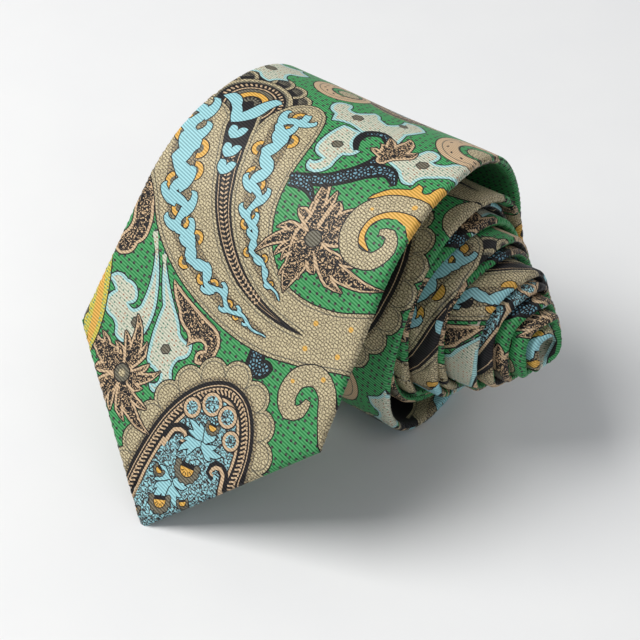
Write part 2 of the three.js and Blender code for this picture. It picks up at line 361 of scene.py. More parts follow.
def pale(d, outline, *eyes):
    """A pale leaf: a blue rim round a speckled middle, with small hexagonal eyes."""
    d.draw("aqua", outline)
    d.fill("speckle", grown(outline, -0.85))
    for v, s, r in eyes:
        d.draw("olive", disc((v, s), r, n=6, turn=17 * r, squash=0.85), line=0.3)


def dark(d, *outlines):
    """Dark leaves with a peach rim."""
    d.rimmed("peach", "seaweed", 0.75, *outlines)


def rosette(d, heart, lobes, middle, rim=0.62):
    """A dark flower: toothed leaves round a middle, each with a peach rim."""
    d.draw("peach", *[part for spec in lobes for part in lobe(heart, *spec)], disc(heart, middle))
    d.fill("seaweed", *[part for spec in lobes for part in lobe(heart, *spec, rim)], disc(heart, middle - rim))


def flower(d, centre, r, turn):
    """A half-open flower: grey petals round a gold half-moon."""
    petals = [disc(spoke(centre, r * 0.74, turn + a), r * 0.24, turn=turn, n=7) for a in range(-105, 106, 30)]
    d.fill("black", disc(centre, r * 0.95, start=-112, sweep=224, turn=turn))
    d.draw("olive", *petals, line=0.25)
    d.draw("gold", disc(centre, r * 0.50, start=-95, sweep=190, turn=turn), line=0.25)
    d.fill("black", *wheel(centre, r * 0.34, r * 0.22, 0.22, [turn + a for a in range(-60, 61, 30)]))


def lower_leaves(d):
    """Leaves at the left edge, the pair of long pale leaves and the black branch."""
    dark(d, arcs([(-44, 85, .1), (-36, 83, .2), (-32.5, 76, .15), (-30.8, 70, .3), (-32.5, 65.5, .35),
            (-35, 61.5, .35), (-38.8, 62, .2), (-38, 66.5, -.25), (-36.8, 71, -.1), (-40, 77, -.1)]))
    pale(d, arcs([(-29.5, 71, .10), (-20.8, 56, .12), (-19.6, 47, .30), (-24, 41, .35), (-28.5, 41.8, -.3),
            (-31, 45, .35), (-35, 48.5, .2), (-33.2, 52, -.15), (-36.8, 54.2, .5), (-31, 56, .35),
            (-26.6, 54, .6), (-28, 50.3, -.6), (-24.2, 51.5, -.18)]), (-23.4, 47, 1.7))
    pale(d, arcs([(-24, 67, -.06), (-13.5, 54, .1), (-10, 49.6, -.2), (-5.4, 48.6, .5), (-7.4, 43.5, -.35),
            (-6.8, 38, .3), (-10.2, 33, .4), (-13, 34.6, -.6), (-10.6, 37.6, .1), (-13.4, 38.3, .3),
            (-16.4, 40, .08), (-18, 54, .06)]), (-12.2, 44.3, 1.4))
    dark(d, arcs([(-18, 61.5, -.05), (-1.4, 55.4, .4), (2.2, 49.6, .5), (-2.6, 44.8, .65),
            (-1.2, 48.8, -.5), (-4, 50.2, -.15), (-6.8, 47.6, -.35), (-9, 51.2, .2), (-13, 54.8, .12)]))
    d.rimmed("black", "feather", 0.7, arcs([(11, 58, 0), (11.4, 50, .03), (10.6, 42, 0), (15.2, 42, 0),
            (14.8, 48.6, -.35), (19, 52.8, -.35), (15.8, 53.8, .1), (15.4, 58, 0)]))


def fan(d):
    """The fan behind the two bands."""
    heart = np.array([-25.5, 112.5])
    for a in (14, 38, 62, 86, 110, 134, 158):
        c = spoke(heart, 12.6, a)
        d.draw("beige", disc(c, 3.6))
        d.rings(c, ("olive", 2.7), ("black", 2.35))
        d.fill("olive", *wheel(c, 1.2, 1.9, 0.3, range(a - 75, a + 76, 25)))
    d.draw("beige", disc(heart, 11.2))
    d.rings(heart, ("olive", 10.1), ("black", 9.5))
    d.fill("peach", *wheel(heart, 8.3, 1.1, 0.55, range(0, 186, 9), 20))
    d.rings(heart, ("peach", 7.1), ("black", 6.7), ("olive", 6.2), ("black", 5.2))
    d.fill("gold", disc(heart, 4.9, start=10, sweep=160))
    d.fill("black", disc(heart, 3.3, start=0, sweep=180))
    d.fill("olive", *wheel(heart, 2.0, 1.6, 0.55, range(15, 166, 25)))


def paired_bands(d):
    """The two long bands, with the black band, the vines and the blue leaves along them."""
    bands = through([(-50, 109), (-37, 109.5), (-30, 108.8), (-24.4, 104.2), (-20.6, 98), (-18.4, 104),
            (-17.8, 112), (-14.8, 118.8), (-10, 121.4), (-5.2, 118.5), (-2.2, 110), (-1, 100), (1, 89),
            (5.5, 79.5), (12, 73.8), (20, 71.8), (29, 72.6), (37, 75.6), (52, 81), (52, 62), (38, 60),
            (27, 57), (14, 55), (2, 56), (-10, 59.5), (-20, 64.5), (-29, 72), (-36, 82), (-50, 96)])
    d.lined(bands)
    spine = [(-24.6, 112), (-22.4, 105), (-19.4, 98), (-16.6, 91), (-12.6, 83), (-7, 75.6), (0, 69.8),
            (8, 66), (16, 64.2), (23, 63.8)]
    widths = [3.0, 3.8, 3.2, 2.8, 2.4, 2.1, 1.8, 1.3, .8, .1]
    d.fill("olive", ribbon(spine, [w + 1.0 for w in widths]))
    d.fill("beige", ribbon(spine, [w + .7 for w in widths]))
    d.fill("black", ribbon(spine, widths))
    line = through(spine[2:8], False, 1.0)
    d.fill("peach", ribbon(spine[2:9], [w - .75 for w in widths[2:9]]))
    d.fill("black", ribbon(spine[2:9], [max(w - .95, .05) for w in widths[2:9]]))
    d.fill("peach", *stitches(line, 1.25, 1.1, 0.42, 38, 0.62), *stitches(line, 1.25, 1.1, 0.42, -38,
            -0.62))
    d.draw("sky", arcs([(-25.5, 105, .1), (-28, 108.6, -.2), (-33.5, 111.5, .1), (-31.5, 114, .35),
            (-27, 111, .1), (-25, 109, -.1), (-23.5, 112.5, .1), (-20.8, 117.5, .35), (-18.3, 117, -.1),
            (-19.8, 112.5, .2), (-22, 107.5, .1)]))
    d.draw("sky", *[arcs([(v, s - .6, .4), (v - 2.3, s + 3.0, .6), (v + .1, s + 2.0, .6),
            (v + 2.5, s + 3.6, .4)]) for v, s in ((-22.2, 101.4), (-20.2, 96.2), (-18.6, 91.6))])
    vine(d, [(-37, 105), (-33.2, 100), (-31, 92), (-28, 84), (-23.5, 76.5), (-17, 70.3), (-9, 65.6),
            (-1, 62.3), (6, 60.3), (13.5, 59)], [2.7, 2.9, 2.8, 2.6, 2.3, 2.0, 1.7, 1.4, 1.0, .25], 1)
    vine(d, [(-9.6, 117), (-12, 111), (-10, 104), (-8.8, 97), (-6.4, 90), (-3.8, 84), (0, 78.4), (5, 74),
            (13, 68.8)], [1.9, 2.3, 2.3, 2.2, 1.9, 1.6, 1.3, 1.0, .25], 2)
    d.fill("gold", *[disc(c, .75, n=8) for c in ((25, 68), (34.6, 70.5), (34.2, 63), (25, 61.2))])


def scrolls(d):
    """The scroll under the bands, the dark flower right of them, and the large scroll and its lining."""
    scroll = ribbon([(31.8, 50), (31, 46.8), (28, 45.6), (25.7, 49), (26.8, 54), (31.3, 56.3), (35.7, 53.8),
            (38.2, 48), (41, 42), (44, 36)], [.7, 1.5, 2.2, 2.5, 2.6, 2.6, 2.4, 2.1, 1.8, 1.1])
    d.draw("beige", scroll)
    d.fill("gold", disc((33.2, 56.4), .7, n=8), disc((25.6, 52.6), .6, n=8))
    heart = np.array([14.6, 86.5])
    lobes = [(128, 15, 4.6, -.4), (182, 14, 4.4, .5), (232, 13, 4.4, .5), (280, 14, 4.4, -.4),
            (322, 21, 5.4, .42), (20, 12, 4.0, .5), (72, 18, 5.0, -.45)]
    rosette(d, heart, lobes, 3.4)
    d.fill("peach", ribbon([(10, 96), (10.6, 91), (9.4, 86), (10, 81)], [.2, .4, .4, .1]))
    d.draw("olive", disc(heart, 2.1))
    d.draw("gold", ribbon([(29.5, 89.6), (25.8, 91.8), (24.9, 96.4), (27.6, 100.4), (32.4, 101.6),
            (36.8, 99.8), (39.6, 95.4), (40.6, 89)], [.1, 1.0, 1.5, 1.8, 2.0, 2.1, 2.0, 1.4]))
    d.fill("green", *[disc(c, .95,
            n=9) for c in ((28.8, 97.6), (31.4, 98.9), (34.2, 98.2), (36.4, 95.9), (37.5, 92.8))])
    d.draw("gold", arcs([(21.2, 101.8, .1), (24.5, 106.6, .05), (29, 109, 0), (29.6, 111.4, .4),
            (31.6, 109.6, -.5), (34, 110, .1), (34.8, 113, .5), (38.6, 111.6, .1), (40, 106, -.1),
            (31, 105.8, -.12)]))
    scroll = ribbon([(29.6, 95), (32.4, 95.6), (34.2, 92), (31.6, 87.6), (26, 87.2), (22.6, 91.6),
            (22.8, 98), (27, 103), (33, 104.8), (39.5, 104), (46, 102)], [.7, 1.3, 1.8, 2.1, 2.3, 2.4, 2.4,
            2.4, 2.3, 2.2, 2.1])
    d.draw("beige", scroll)
    d.fill("gold", disc((33.4, 104.6), .8, n=8), disc((24, 99.6), .5, n=8))


def upper_leaves(d):
    """Pale leaves over the bands, and the dark hook and its feather."""
    pale(d, arcs([(-8.4, 126, .5), (-4.6, 130, .25), (-3.4, 127.2, -.5), (0, 128.2, -.1), (1.8, 131.6, .35),
            (5, 129.3, 0), (8, 128, -.35), (9.4, 134.8, .3), (13.4, 136.4, .15), (16.8, 133.6, .1),
            (14.8, 127, .05), (15.8, 118.6, .1), (10, 122, -.2), (5.5, 119.5, -.3), (-3.8, 119.3, .05),
            (-5, 122.3, .35)]), (.6, 125, 1.5), (11.2, 131.2, 1.1))
    pale(d, arcs([(0, 119.6, .05), (5.4, 119.6, -.1), (6.2, 115, -.35), (9.8, 113.4, .35), (7, 110, -.1),
            (7, 105.5, .25), (4, 101.8, .6), (.6, 104.8, -.55), (3.2, 106.6, .4), (-1, 109.8, .1)]),
            (3.4, 112.4, 1.4))
    pale(d, arcs([(17.4, 114, .25), (21.5, 118.4, .05), (23, 124.2, .5), (27.2, 124, .3), (27, 120.4, -.35),
            (31.5, 123, .1), (36, 126, .25), (41, 121.4, .2), (38.6, 117.4, -.2), (33, 116.4, 0),
            (29.2, 114, -.25), (28.2, 110.6, .3), (25.2, 110, .1), (22.5, 112.3, -.1)]), (25.8, 118, 1.6))
    hook = [(8.6, 113.2), (6.6, 116.4), (7, 120.2), (10.4, 122.4), (14, 120.4), (15.6, 116), (15, 111.4),
            (13, 107.6)]
    d.draw("black", ribbon(hook, [.5, .9, 1.2, 1.3, 1.4, 1.5, 1.5, 1.3]), line=.15)
    d.fill("feather", ribbon(hook[2:], [.1, .5, .7, .8, .8, .4]))
    plume = [(24.4, 108), (20.6, 111), (16, 109), (12, 104.6), (8, 101.2), (2, 99), (-1, 98.6)]
    d.draw("black", ribbon(plume, [.6, 2.0, 2.5, 2.3, 2.0, 1.5, .5]), ribbon([(0, 97), (5, 97.6),
            (9, 94.8)], [1.4, 1.5, .3]), line=.15)
    d.fill("feather", ribbon(plume, [.1, 1.2, 1.7, 1.5, 1.2, .8, .1]), ribbon([(0, 97), (5, 97.6),
            (8.4, 95.4)], [.7, .8, .1]))
    rosette(d, np.array([16.2, 114]), [(72, 11.5, 5, .1), (110, 6, 3.4, .1)], 1.6)
    pale(d, arcs([(-44, 124, .2), (-37, 122, .3), (-33, 126, -.3), (-28, 124, .3), (-24.4, 128, .35),
            (-27, 133, -.3), (-24, 138, .3), (-29, 143, .3), (-33.6, 138.4, -.3), (-38, 141, .3),
            (-42, 136, -.2)]), (-33, 131.6, 1.7))
    d.draw("beige", ribbon([(-50, 118), (-43, 116.4), (-38.4, 119), (-39, 123), (-42, 122.4)], [2, 2, 1.7,
            1.2, .5]))


def tan_drops(d):
    """Round tan drops at the repeat's end."""
    for c, r in (((31.5, 134.5), 10.3), ((-12.4, 137.5), 8.2)):
        c = np.array(c)
        d.draw("peach", disc(c, r))
        d.rings(c, ("olive", r - 1.5), ("peach", r - 1.8))
        d.fill("black", *wheel(c, r - 3.2, 1.0, .5, range(0, 360, 30), 60))
        d.fill("olive", disc(c + (1.2, .6), r * .56))
        d.draw("green", disc(c + (1.2, .6), r * .5))
        d.draw("beige", disc(c + (2, .2), r * .36))


def big_drop(d):
    """The big drop at the point, with its scalloped border, its gold flowers and its blue leaves."""
    drop = through([(-10.4, 2), (-8.8, 17), (-5.4, 30), (.8, 39.6), (9, 44.4), (16.6, 42.4), (21.6, 35),
            (23.2, 25), (21, 13), (15, 3), (6, -5), (-4, -9), (-11, -7), (-11.6, -2)])
    rim = grown(drop, 1.9)
    run = run_along(rim)
    knobs = [np.array([np.interp(t, run, rim[:, k]) for k in (0, 1)]) for t in np.arange(3, run[-1], 7.3)]
    d.lined(*[disc(c, 4.4) for c in knobs if c[1] > -5])
    d.fill("umber", grown(drop, 1.3))
    d.draw("black", drop)
    for by, ink in ((.75, "peach"), (1.0, "black"), (4.0, "peach"), (4.7, "black"), (5.0, "vermicule")):
        d.fill(ink, grown(drop, -by))
    line = grown(drop, -2.5)
    d.fill("peach", *stitches(line, 1.15, 1.7, .45, 30), *stitches(line, 1.15, .9, .4, 90, .8))
    for c, r in (((7, 37.6), 3.0), ((1.8, 34.4), 2.6), ((12.6, 36.6), 2.8), ((16, 31.6), 2.5)):
        d.draw("peach", disc(c, r))
        d.fill("vermicule", disc(c, r - .8))
    d.draw("black", ribbon([(-2.4, 24), (-.6, 27.6), (2.6, 28.4), (3.6, 25.8), (1.8, 24.8)], [1.3, 1.3, 1.2,
            .9, .3]), line=.1)
    d.fill("peach", ribbon([(-2.4, 22), (-.8, 27.2), (2.4, 27.8), (3.2, 26), (2, 25.4)], [.5, .5, .5, .4,
            .2]))
    d.draw("black", ribbon([(18.6, 18), (17.6, 23.2), (14.4, 24.4), (13.2, 21.8), (15, 20.8)], [1.3, 1.3,
            1.2, .9, .3]), line=.1)
    d.fill("peach", ribbon([(18.6, 14), (17.4, 23), (14.6, 23.8), (13.6, 22), (14.8, 21.6)], [.5, .5, .5,
            .4, .2]))
    for c, angles in (((8, 27.2), (60, 125, -20, 200)), ((3.6, 14.6), (20, 160, -60, -130))):
        for a in angles:
            d.draw("sky", *lobe(c, a, 6.6, 2.2, .2), line=.3)
    for c, r, turn in (((9.6, 32.6), 2.3, 270), ((6.8, 19.8), 4.1, 275), ((2.6, 9.0), 3.6, 290),
                       ((-.8, 16), 1.9, 250), ((9.2, 11.6), 1.9, 300), ((-4, 4), 2.4, 270)):
        flower(d, c, r, turn)


def lower_flower(d):
    """The dark flower and the yellow leaf left of the drop."""
    heart = np.array([-21.8, 33.4])
    lobes = [(70, 14, 4.4, .4), (128, 11, 4.2, .5), (176, 14, 4.4, -.4), (232, 13, 4.4, .4),
            (296, 16, 4.6, .4), (352, 10, 4.0, .5)]
    rosette(d, heart, lobes, 3.4)
    d.draw("olive", disc(heart, 2.3))
    d.fill("beige", disc(heart, 1.1))
    d.draw("yellow", ribbon([(-46, 66), (-41, 57), (-37.6, 48), (-36, 40), (-36.4, 30), (-39, 22)], [3, 3.4,
            3, 2.7, 2, .3]))
    d.fill("gold", ribbon([(-43, 63), (-38.6, 53), (-36, 44), (-35.4, 36), (-36.6, 28)], [.2, .9, 1.1, .9,
            .1]))
    d.draw("olive", disc((-40.4, 43.5), 1.7, n=6))


def drawing():
    """One repeat of the print, in printing order."""
    d = Drawing()
    for motif in (lower_leaves, fan, paired_bands, scrolls, upper_leaves, tan_drops, big_drop, lower_flower):
        motif(d)
    return d.shapes


# ---- Inks ------------------------------------------------------------------------------------------------
INKS = ["green", "black", "beige", "umber", "peach", "aqua", "speckle", "sky", "gold", "olive", "seaweed",
        "feather", "yellow", "vermicule"]


def linear(code):
    """An sRGB hex colour as linear RGBA."""
    out = []
    for i in (0, 2, 4):
        c = int(code[i:i + 2], 16) / 255
        out.append(c / 12.92 if c <= 0.04045 else ((c + 0.055) / 1.055) ** 2.4)
    return (*out, 1.0)


def add(tree, kind, links=(), **settings):
    """A shader node with its settings, its inputs set or linked by name or number."""
    node = tree.nodes.new(kind)
    inputs = settings.pop("inputs", {})
    for key, value in settings.items():
        setattr(node, key, value)
    for key, value in inputs.items():
        node.inputs[key].default_value = value
    for key, source in links:
        tree.links.new(source, node.inputs[key])
    return node


def maths(tree, operation, a, b=None, clamp=False):
    """A Math node on sockets or numbers; gives its output."""
    node = add(tree, "ShaderNodeMath", operation=operation, use_clamp=clamp)
    for i, value in enumerate((a, b)):
        if value is None:
            continue
        if isinstance(value, (int, float)):
            node.inputs[i].default_value = value
        else:
            tree.links.new(value, node.inputs[i])
    return node.outputs[0]


def mixed(tree, factor, a, b):
    """A colour mix; a and b are colours or sockets."""
    node = add(tree, "ShaderNodeMix", data_type="RGBA")
    for key, value in ((0, factor), (6, a), (7, b)):
        if isinstance(value, (int, float, tuple)):
            node.inputs[key].default_value = value
        else:
            tree.links.new(value, node.inputs[key])
    return node.outputs[2]


def new_material(name, **principled):
    """A material with its tree and its Principled BSDF, and values set on the shader's own sockets."""
    material = bpy.data.materials.new(name)
    material.use_nodes = True
    tree = material.node_tree
    shader = tree.nodes["Principled BSDF"]
    for key, value in principled.items():
        shader.inputs[key.replace("_", " ")].default_value = value
    return material, tree, shader


def dress(tree, shader, colour, height, strength, distance):
    """Links a colour, and a raised pattern as a bump of this strength and height in metres."""
    tree.links.new(colour, shader.inputs["Base Color"])
    bump = add(tree, "ShaderNodeBump", [("Height", height)], inputs={"Strength": strength, "Distance": distance})
    tree.links.new(bump.outputs[0], shader.inputs["Normal"])


def cloth_mm(tree):
    """The cloth's own coordinates in millimetres, from its UV map."""
    uv = add(tree, "ShaderNodeUVMap", uv_map="cloth")
    return add(tree, "ShaderNodeVectorMath", [(0, uv.outputs[0])], operation="SCALE",
               inputs={"Scale": 1000.0}).outputs[0]


RIB = (0.36, 1.31, 0.0)             # ribs a millimetre across and along. Real ribs are 0.53 mm apart; these are
                                    # drawn 0.74 mm apart, as finer ones would not show


def twill(tree, mm):
    """0 in the furrows and 1 on the ribs."""
    along = add(tree, "ShaderNodeVectorMath", [(0, mm)], operation="DOT_PRODUCT",
                inputs={1: RIB}).outputs["Value"]
    wave = maths(tree, "SINE", maths(tree, "MULTIPLY", along, 2 * math.pi))
    return maths(tree, "ADD", maths(tree, "MULTIPLY", wave, 0.5), 0.5)


def below(tree, value, edge, soft):
    """1 where the value is under the edge, fading over the soft width."""
    node = add(tree, "ShaderNodeMapRange", [("Value", value)], interpolation_type="SMOOTHSTEP",
               inputs={"From Min": edge - soft, "From Max": edge + soft, "To Min": 1.0, "To Max": 0.0})
    return node.outputs["Result"]


# The fine pattern inside an ink's areas: its cells' size in millimetres, their unevenness, whether it follows
# the cells' edges or their middles, how wide and how soft it is, and its colour (None for black).
FILLS = {
    "green": (1.95, 0.40, "F1", 0.215, 0.03, "04120c"),                     # small dark dots, 2 mm apart
    "beige": (0.92, 1.0, "DISTANCE_TO_EDGE", 0.10, 0.05, "6b5a3c"),         # a crackle of dark lines
    "umber": (0.92, 1.0, "DISTANCE_TO_EDGE", 0.14, 0.05, "41351f"),
    "speckle": (1.35, 0.55, "F1", 0.17, 0.03, ("b9764a", "3f8a70")),        # tan and green specks
    "seaweed": (0.90, 0.95, "DISTANCE_TO_EDGE", 0.24, 0.03, None),          # wandering strokes
    "vermicule": (1.15, 0.95, "DISTANCE_TO_EDGE", 0.16, 0.03, None),
    "feather": (0.95, 0.9, "DISTANCE_TO_EDGE", 0.25, 0.04, None),           # blue barbs on black
    "yellow": (1.2, 0.5, "F1", 0.2, 0.06, "4fa38a"),                        # aqua specks
    "olive": (0.8, 1.0, "DISTANCE_TO_EDGE", 0.07, 0.04, "47412f"),
}
GROUNDS = {"seaweed": "peach", "vermicule": "sky"}      # the ink under the wandering strokes


def fill_pattern(tree, ink, mm, colours):
    """The ink's colour with its fine pattern."""
    colour = colours[GROUNDS.get(ink, ink)]
    if ink not in FILLS:
        return colour
    size, random, feature, width, soft, line = FILLS[ink]
    if ink in GROUNDS:
        wander = add(tree, "ShaderNodeTexNoise", [("Vector", mm)], noise_dimensions="2D",
                     inputs={"Scale": 0.7, "Detail": 1.0}).outputs["Color"]
        mm = add(tree, "ShaderNodeVectorMath", [(0, wander), (2, mm)], operation="MULTIPLY_ADD",
                 inputs={1: (2.4, 2.4, 0.0)}).outputs[0]
    cell = add(tree, "ShaderNodeTexVoronoi", [("Vector", mm)], voronoi_dimensions="2D", feature=feature,
               inputs={"Scale": 1.0 / size, "Randomness": random}).outputs
    if ink == "speckle":
        pick = add(tree, "ShaderNodeSeparateColor", [(0, cell["Color"])]).outputs[0]
        line = mixed(tree, below(tree, pick, 0.55, 0.01), *map(linear, line))
    else:
        line = linear(line) if line else colours["black"]
    return mixed(tree, below(tree, cell["Distance"], width, soft), colour, line)


def printed_silk(ink, colours):
    """Printed mulberry silk twill: fine raised ribs that catch the light, over a deep, nearly matt ink. The ink carries
    a painted highlight on the ribs and a painted shade in the furrows.
    """
    material, tree, shader = new_material("Silk_twill_" + ink, IOR=1.54, Sheen_Weight=0.03, Sheen_Roughness=0.3,
                                          Specular_IOR_Level=0.22)
    mm = cloth_mm(tree)
    rib = twill(tree, mm)
    colour = fill_pattern(tree, ink, mm, colours)
    cloudy = add(tree, "ShaderNodeTexNoise", [("Vector", mm)], noise_dimensions="2D",
                 inputs={"Scale": 0.16, "Detail": 3.0}).outputs[0]
    # Painted highlight: the ink mixed towards a pale cream on the ribs, less on the black inks.
    pale = mixed(tree, 0.02 if ink in ("black", "seaweed", "feather") else 0.12, colour, (0.9, 0.9, 0.84, 1.0))
    # Painted shade: the ink darkened in the furrows between the ribs.
    painted_furrow_shade = mixed(tree, 0.48, colour, (0.0, 0.0, 0.0, 1.0))
    # The ink with its painted rib highlight and furrow shade, then darkened at random in broad clouds.
    shade = mixed(tree, maths(tree, "MULTIPLY", cloudy, 0.12), mixed(tree, rib, painted_furrow_shade, pale),
                  (0.01, 0.01, 0.01, 1.0))
    rough = maths(tree, "SUBTRACT", 0.60, maths(tree, "MULTIPLY", rib, 0.16))
    tree.links.new(rough, shader.inputs["Roughness"])
    dress(tree, shader, shade, rib, 0.22, 0.00012)
    return material


# ---- Meshes ----------------------------------------------------------------------------------------------
def strip_outline(start, end, step):
    """The flat outline of the strip between two distances along it."""
    low, high = max(start, BLUNT), min(end, LENGTH - BLUNT)
    corners = [c for c in (CORNER, TAIL_CORNER) if low < c < high]
    rows = np.unique(np.concatenate([np.arange(low, high, step), [high], corners]))
    half = table(HALF_WIDTHS, rows)

    def across(s, sign):
        h = float(table(HALF_WIDTHS, s))
        v = np.arange(-h, h, step)[1:] if 2 * h > 2 * step else np.array([])
        return np.stack([v * sign, np.full(len(v), s)], 1)

    right = np.stack([half, rows], 1)
    left = np.stack([-half, rows], 1)[::-1]
    return np.vstack([across(rows[0], 1), right, across(rows[-1], -1), left])


def edge_distance(v, s, start=0, end=LENGTH):
    """How far inside the strip's outline a flat place is."""
    v = np.abs(v)
    side = (table(HALF_WIDTHS, np.clip(s, CORNER, TAIL_CORNER)) - v) * 0.998     # the sides slope a little
    point = (s - v) * SINE_45
    tail = (LENGTH - s - v) * SINE_45
    ends = np.minimum(s - max(start, BLUNT), min(end, LENGTH - BLUNT) - s)
    near = np.minimum(np.minimum(side, point), np.minimum(tail, ends))
    return np.maximum(near - 0.003, 0)          # so that points on the outline itself are all at nought


def inside(poly, points):
    """Which points are inside a closed outline."""
    a, b = poly, np.roll(poly, -1, 0)
    x, y = points[:, 0][:, None], points[:, 1][:, None]
    cross = (a[:, 1] > y) != (b[:, 1] > y)
    with np.errstate(divide="ignore", invalid="ignore"):
        at = (b[:, 0] - a[:, 0]) * (y - a[:, 1]) / (b[:, 1] - a[:, 1]) + a[:, 0]
    return (np.sum(cross & (x < at), axis=1) % 2).astype(bool)


def repeats(shapes, start, end, least, deep):
    """The drawing's shapes on this stretch of the cloth, in printing order. least gives the smallest kept
    there, and past deep, where the cloth's middle is rolled in, only those near its edges are kept."""
    out = []
    for k in range(int((end + PRINT_SPILL) // REPEAT), int((start - PRINT_SPILL) // REPEAT) - 1, -1):
        for ink, poly in shapes:
            p = poly * [1 if k % 2 == 0 else -1, 1] + [0, k * REPEAT]
            low, high = p.min(0), p.max(0)
            reach = float(table(HALF_WIDTHS, min(max((low[1] + high[1]) / 2, start), end))) + PRINT_MARGIN
            if high[1] < start or low[1] > end or low[0] > reach or high[0] < -reach:
                continue
            if low[1] > deep and max(-low[0], high[0]) < reach - EDGE_BAND:
                continue
            if max(high - low) >= table(least, (low[1] + high[1]) / 2):
                out.append((ink, lighter(p, 0.14) if low[1] > PLAINER_FROM else p))
    return out


def opening(s):
    """Half the width of the opening in the silk's back, at either end of the tie."""
    return table([(0, 0), *[(along, half) for rows in OPENINGS for along, half in rows], (LENGTH, 0)], s)


# The two openings in the silk's back, as half widths by the distance along; each has four corners.
OPENINGS = (((10, 0), (CORNER, 30), (100, 0)), ((1348, 0), (TAIL_CORNER, 9), (1400, 0)))
HEM_STEP, SEAM_STEP = 0.34, 0.22
FOLD_ROWS, FOLD_STEP = (0.16, 0.5, 1.05), 1.9   # rows of mesh points near the folds, and their spacing


def flat_mesh(start, end, shapes, least, deep, grid, outline, hems=False):
    """Triangles over the flat strip that follow every printed outline, and each triangle's ink."""
    chosen = repeats(shapes, start, end, least, deep)
    points, edges, count = [], [], 0

    def line(poly, ring=True):
        nonlocal count
        points.append(poly)
        n = len(poly)
        edges.extend((count + i, count + (i + 1) % n) for i in range(n if ring else n - 1))
        count += n

    line(outline)
    for _, p in chosen:
        line(p)
    if hems:
        for (low, _), (widest, half), (high, _) in OPENINGS:
            if start < low < end:
                hem = np.array([(0, low), (half, widest), (0, high), (-half, widest)], float)
                centre = hem.mean(0)
                for by in (-0.35, 0.35):            # a line on both sides of the hem's step
                    line(hem + (hem - centre) / np.linalg.norm(hem - centre, axis=1)[:, None] * by * 1.41)
        seam = np.arange(max(start + 1, 101), min(end - 1, 1347), 3.0)
        for v in (-0.3, 0.3):
            line(np.stack([np.full(len(seam), v), seam], 1), False)
    loose = []
    for row, s in enumerate(np.arange(start + grid / 2, end, grid)):
        h = float(table(HALF_WIDTHS, s))
        v = np.arange(-h + 2.2, h - 2.2, grid) + (row % 2) * grid / 2
        loose.append(np.stack([v, np.full(len(v), s)], 1))
    for inset in FOLD_ROWS:
        for s in np.arange(start + 0.5, end, FOLD_STEP):
            h = float(table(HALF_WIDTHS, s)) - inset * (1.42 if s < CORNER or s > TAIL_CORNER else 1)
            if h > 0.3:
                loose.append(np.array([(-h, s), (h, s)]))
    points.append(np.vstack(loose))
    verts, _, faces = delaunay_2d_cdt([Vector(p) for p in np.vstack(points)], edges, [], 0, 1e-4, False)[:3]
    verts = np.array([tuple(p) for p in verts])
    faces = np.array([f for f in faces if len(f) == 3])
    corner = verts[faces]
    middle = corner.mean(1)
    ab, ac = corner[:, 1] - corner[:, 0], corner[:, 2] - corner[:, 0]
    size = ab[:, 0] * ac[:, 1] - ab[:, 1] * ac[:, 0]
    faces[size < 0] = faces[size < 0][:, ::-1]
    keep = inside(outline, middle) & (np.abs(size) > 1e-9)
    faces, middle = faces[keep], middle[keep]
    order = np.argsort(middle[:, 1])
    faces, middle = faces[order], middle[order]
    inks = np.zeros(len(faces), int)
    for ink, p in chosen:
        low, high = p.min(0), p.max(0)
        i, j = np.searchsorted(middle[:, 1], (low[1], high[1]))
        near = np.arange(i, j)
        near = near[(middle[near, 0] > low[0]) & (middle[near, 0] < high[0])]
        if len(near):
            inks[near[inside(p, middle[near])]] = INKS.index(ink)
    used, faces = np.unique(faces, return_inverse=True)
    return verts[used], faces.reshape(-1, 3), inks


def rim_of(points, faces):
    """The points along a flat mesh's edge, in order."""
    edges = np.concatenate([faces[:, [0, 1]], faces[:, [1, 2]], faces[:, [2, 0]]])
    pair, where, uses = np.unique(np.sort(edges, 1), axis=0, return_index=True, return_counts=True)
    follows = dict(edges[where[uses == 1]])
    ring = [next(iter(follows))]
    while follows[ring[-1]] != ring[0]:
        ring.append(follows[ring[-1]])
    return points[ring]


def puffed(v, s, start=0, end=LENGTH):
    """Depth of the cloth's outer face: it rounds down at the folded edges, and lies a little uneven."""
    r = THICK / 2 + 0.15
    d = edge_distance(v, s, start, end)
    round_off = THICK / 2 * (1 - np.sqrt(np.clip(1 - (1 - np.clip(d / r, 0, 1)) ** 2, 0, 1)))
    uneven = 0.16 * np.sin(v * 0.11 + s * 0.05) + 0.12 * np.sin(v * 0.05 - s * 0.13 + 2)
    return round_off + (uneven + 0.15) * smooth(d / 8)


def back_depth(v, s, start=0, end=LENGTH):
    """Depth of the tube's back. Its silk steps down to the lining in the openings, and up over the seam."""
    d = edge_distance(v, s, start, end)
    hem = smooth((opening(s) - np.abs(v) + 0.25) / 0.5) * HEM_STEP
    along = smooth((s - 98) / 4) * smooth((1350 - s) / 4)
    seam = smooth((v + 0.3) / 0.6) * along * smooth((10 - np.abs(v)) / 9) * SEAM_STEP
    return THICK - puffed(v, s, start, end) - (hem - seam) * smooth(d / 1.5)


def make_object(name, points, faces, mm, inks=None):
    """A mesh piece with its cloth coordinates as UVs."""
    mesh = bpy.data.meshes.new(name)
    mesh.from_pydata([tuple(p) for p in points], [], [tuple(int(i) for i in f) for f in faces])
    uv = mesh.uv_layers.new(name="cloth")
    loops = np.array([l.vertex_index for l in mesh.loops])
    uv.data.foreach_set("uv", (np.asarray(mm)[loops] * MM).astype(np.float32).ravel())
    mesh.polygons.foreach_set("use_smooth", np.ones(len(mesh.polygons), bool))
    if inks is not None:
        mesh.polygons.foreach_set("material_index", np.asarray(inks, np.int32))
    mesh.update()
    obj = bpy.data.objects.new(name, mesh)
    bpy.context.collection.objects.link(obj)
    return obj


